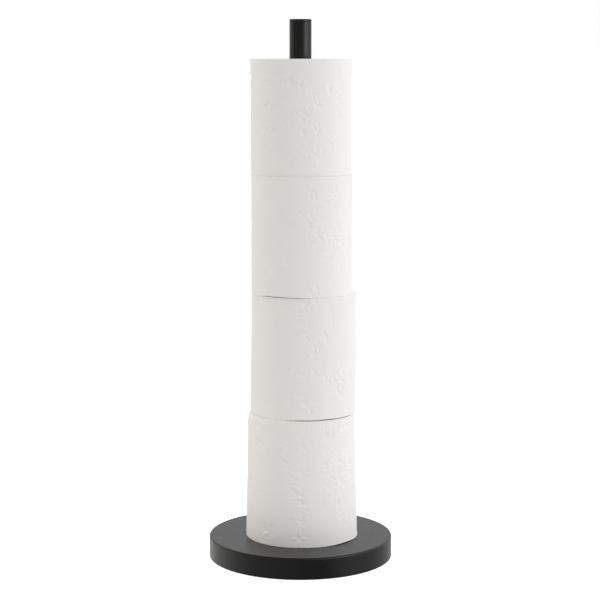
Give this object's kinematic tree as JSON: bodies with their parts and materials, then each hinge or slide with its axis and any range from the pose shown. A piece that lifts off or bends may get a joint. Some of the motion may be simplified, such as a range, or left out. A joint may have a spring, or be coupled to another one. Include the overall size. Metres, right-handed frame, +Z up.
{
  "type": "toilet paper holder",
  "caption": "Freestanding toilet paper holder: a weighted round base with an upright post that holds a stack of spare rolls.",
  "frame": {"origin": "centre of the foot pad's underside, on the floor", "axes": "+Z up along the post; +X and +Y are level and the stand is round, so its turn about Z is free"},
  "size_m": [0.162, 0.162, 0.4727],
  "materials": {
    "powder_coat": "satin",
    "cap_plastic": "satin",
    "cast_ballast": "matte",
    "foot_foam": "matte",
    "zinc_plate": "satin",
    "core_board": "matte",
    "tissue": "matte"
  },
  "bodies": {
    "stand": {"base_cover": "powder_coat", "ballast_disc": "cast_ballast", "foot_pad": "foot_foam", "post_tube": "powder_coat", "post_end_cap": "cap_plastic", "post_insert": "zinc_plate", "base_bolt": "zinc_plate", "spring_washer": "zinc_plate", "flat_washer": "zinc_plate"},
    "roll_1": {"roll_1_core": "core_board"},
    "roll_1_wound": {"roll_1_tissue": "tissue"},
    "roll_2": {"roll_2_core": "core_board"},
    "roll_2_wound": {"roll_2_tissue": "tissue"},
    "roll_3": {"roll_3_core": "core_board"},
    "roll_3_wound": {"roll_3_tissue": "tissue"},
    "roll_4": {"roll_4_core": "core_board"},
    "roll_4_wound": {"roll_4_tissue": "tissue"}
  },
  "joints": [
    {"name": "roll_1_lift", "type": "slide", "parent": "stand", "child": "roll_1", "axis": [0, 0, 1], "range_m": [0, 0.454]},
    {"name": "roll_2_lift", "type": "slide", "parent": "roll_1", "child": "roll_2", "axis": [0, 0, 1], "range_m": [0, 0.343]},
    {"name": "roll_3_lift", "type": "slide", "parent": "roll_2", "child": "roll_3", "axis": [0, 0, 1], "range_m": [0, 0.237]},
    {"name": "roll_4_lift", "type": "slide", "parent": "roll_3", "child": "roll_4", "axis": [0, 0, 1], "range_m": [0, 0.133]},
    {"name": "roll_1_spin", "type": "hinge", "parent": "roll_1", "child": "roll_1_wound", "pos_m": [0.0008, -0.0006, 0.0752], "axis": [0, 0, 1], "continuous": true},
    {"name": "roll_2_spin", "type": "hinge", "parent": "roll_2", "child": "roll_2_wound", "pos_m": [0.0026, 0.0008, 0.1838], "axis": [0, 0, 1], "continuous": true},
    {"name": "roll_3_spin", "type": "hinge", "parent": "roll_3", "child": "roll_3_wound", "pos_m": [0.001, -0.0012, 0.2886], "axis": [0, 0, 1], "continuous": true},
    {"name": "roll_4_spin", "type": "hinge", "parent": "roll_4", "child": "roll_4_wound", "pos_m": [0.0003, 0.0005, 0.3897], "axis": [0, 0, 1], "continuous": true}
  ]
}
